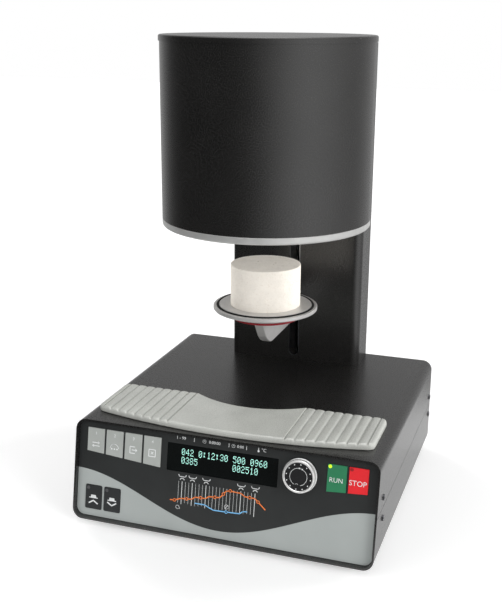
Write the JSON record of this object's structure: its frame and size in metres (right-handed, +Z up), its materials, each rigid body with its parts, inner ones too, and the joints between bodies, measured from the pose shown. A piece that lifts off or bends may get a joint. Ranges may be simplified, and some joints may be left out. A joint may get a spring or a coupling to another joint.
{
  "type": "dental lab furnace",
  "caption": "Tabletop vacuum firing furnace for dental ceramics: sloping control panel, lift column, round firing head and a table that rises to close it.",
  "frame": {"origin": "under the middle of the furnace, on the surface that it stands on", "axes": "+X to the user's right, +Y to the rear, +Z up"},
  "size_m": [0.3224, 0.3326, 0.493],
  "materials": {
    "powder_black": "satin",
    "saddle_black": "matte",
    "steel_sheet": "matte",
    "screw_steel": "satin",
    "ground_steel": "polished",
    "stainless": "satin",
    "rubber_black": "matte",
    "rubber_red": "matte",
    "rest_grey": "matte",
    "plate_black": "matte",
    "film_two_tone": "satin",
    "key_grey": "satin",
    "key_dark": "satin",
    "key_green": "satin",
    "key_red": "satin",
    "display_glass": "gloss",
    "display_dark": "gloss",
    "knob_satin": "satin",
    "knob_black": "satin",
    "board_green": "satin",
    "copper_winding": "satin",
    "plastic_black": "satin",
    "rocker_black": "gloss",
    "satin_aluminium": "satin",
    "ring_aluminium": "satin",
    "hose_grey": "satin",
    "motor_dark": "satin",
    "brass": "satin",
    "fibre_white": "matte",
    "quartz": "satin",
    "resistance_wire": "matte",
    "ceramic_white": "satin"
  },
  "bodies": {
    "root": {"base_tray": "powder_black", "top_cover": "powder_black", "side_rails": "steel_sheet", "rear_panel": "powder_black", "cover_screws": "screw_steel", "rubber_feet": "rubber_black", "hand_rest": "rest_grey", "panel_plate": "plate_black", "panel_overlay": "film_two_tone", "display_window": "display_glass", "display_module": "display_dark", "encoder_body": "screw_steel", "control_board": "board_green", "transformer": "copper_winding", "power_board": "board_green", "fan_frame": "plastic_black", "mains_inlet": "plastic_black", "switch_body": "plastic_black", "vacuum_nozzle": "satin_aluminium", "vacuum_hose": "hose_grey", "column_shell": "powder_black", "column_back": "powder_black", "spine_channel": "steel_sheet", "bearing_plates": "satin_aluminium", "guide_rods": "ground_steel", "lift_motor": "motor_dark", "head_ring": "ring_aluminium", "head_shell": "powder_black", "head_lid": "powder_black", "muffle_can": "stainless", "insulation_wall": "fibre_white", "insulation_top": "fibre_white", "muffle_tube": "quartz", "heating_coil": "resistance_wire", "thermocouple": "ceramic_white", "head_saddle": "saddle_black", "head_screws": "screw_steel"},
    "lift": {"carriage": "satin_aluminium", "guide_bushes": "brass", "lift_nut": "brass", "lift_arm": "satin_aluminium", "table_plate": "satin_aluminium", "gasket_ring": "rubber_red", "seal_ring": "rubber_black", "insulating_block": "fibre_white"},
    "screw": {"lead_screw": "ground_steel"},
    "selector_push": {"encoder_plunger": "screw_steel"},
    "selector_knob": {"encoder_shaft": "screw_steel", "knob_ring": "knob_satin", "knob_cap": "knob_black"},
    "rocker": {"power_rocker": "rocker_black"},
    "fan": {"fan_rotor": "plastic_black"},
    "program_key_body": {"program_key": "key_grey"},
    "curve_key_body": {"curve_key": "key_grey"},
    "enter_key_body": {"enter_key": "key_grey"},
    "escape_key_body": {"escape_key": "key_grey"},
    "lift_up_key_body": {"lift_up_key": "key_dark"},
    "lift_down_key_body": {"lift_down_key": "key_dark"},
    "run_key_body": {"run_key": "key_green"},
    "stop_key_body": {"stop_key": "key_red"}
  },
  "joints": [
    {"name": "lift_slide", "type": "slide", "parent": "root", "child": "lift", "axis": [0, 0, 1], "range_m": [-0.048, 0.0882]},
    {"name": "screw_spin", "type": "hinge", "parent": "root", "child": "screw", "pos_m": [0, 0.123, 0.056], "axis": [0, 0, 1], "range_deg": [-2165, 3975]},
    {"name": "selector_press", "type": "slide", "parent": "root", "child": "selector_push", "axis": [0, 0.9836, -0.1805], "range_m": [0, 0.0005], "stiffness_N_per_m": 2500},
    {"name": "selector_turn", "type": "hinge", "parent": "selector_push", "child": "selector_knob", "pos_m": [0.0815, -0.1475, 0.08547], "axis": [0, -0.9836, 0.1805], "continuous": true},
    {"name": "rocker_tilt", "type": "hinge", "parent": "root", "child": "rocker", "pos_m": [0.114, 0.14825, 0.078], "axis": [-1, 0, 0], "range_deg": [0, 18]},
    {"name": "fan_spin", "type": "hinge", "parent": "root", "child": "fan", "pos_m": [-0.114, 0.13825, 0.05825], "axis": [0, 1, 0], "continuous": true},
    {"name": "program_key_press", "type": "slide", "parent": "root", "child": "program_key_body", "axis": [0, 0.9836, -0.1805], "range_m": [0, 0.0005], "stiffness_N_per_m": 1500},
    {"name": "curve_key_press", "type": "slide", "parent": "root", "child": "curve_key_body", "axis": [0, 0.9836, -0.1805], "range_m": [0, 0.0005], "stiffness_N_per_m": 1500},
    {"name": "enter_key_press", "type": "slide", "parent": "root", "child": "enter_key_body", "axis": [0, 0.9836, -0.1805], "range_m": [0, 0.0005], "stiffness_N_per_m": 1500},
    {"name": "escape_key_press", "type": "slide", "parent": "root", "child": "escape_key_body", "axis": [0, 0.9836, -0.1805], "range_m": [0, 0.0005], "stiffness_N_per_m": 1500},
    {"name": "lift_up_key_press", "type": "slide", "parent": "root", "child": "lift_up_key_body", "axis": [0, 0.9836, -0.1805], "range_m": [0, 0.0005], "stiffness_N_per_m": 1500},
    {"name": "lift_down_key_press", "type": "slide", "parent": "root", "child": "lift_down_key_body", "axis": [0, 0.9836, -0.1805], "range_m": [0, 0.0005], "stiffness_N_per_m": 1500},
    {"name": "run_key_press", "type": "slide", "parent": "root", "child": "run_key_body", "axis": [0, 0.9836, -0.1805], "range_m": [0, 0.0005], "stiffness_N_per_m": 1500},
    {"name": "stop_key_press", "type": "slide", "parent": "root", "child": "stop_key_body", "axis": [0, 0.9836, -0.1805], "range_m": [0, 0.0005], "stiffness_N_per_m": 1500}
  ],
  "couplings": [
    {"joint": "screw_spin", "follows": "lift_slide", "rad_per_m": 785.4}
  ]
}
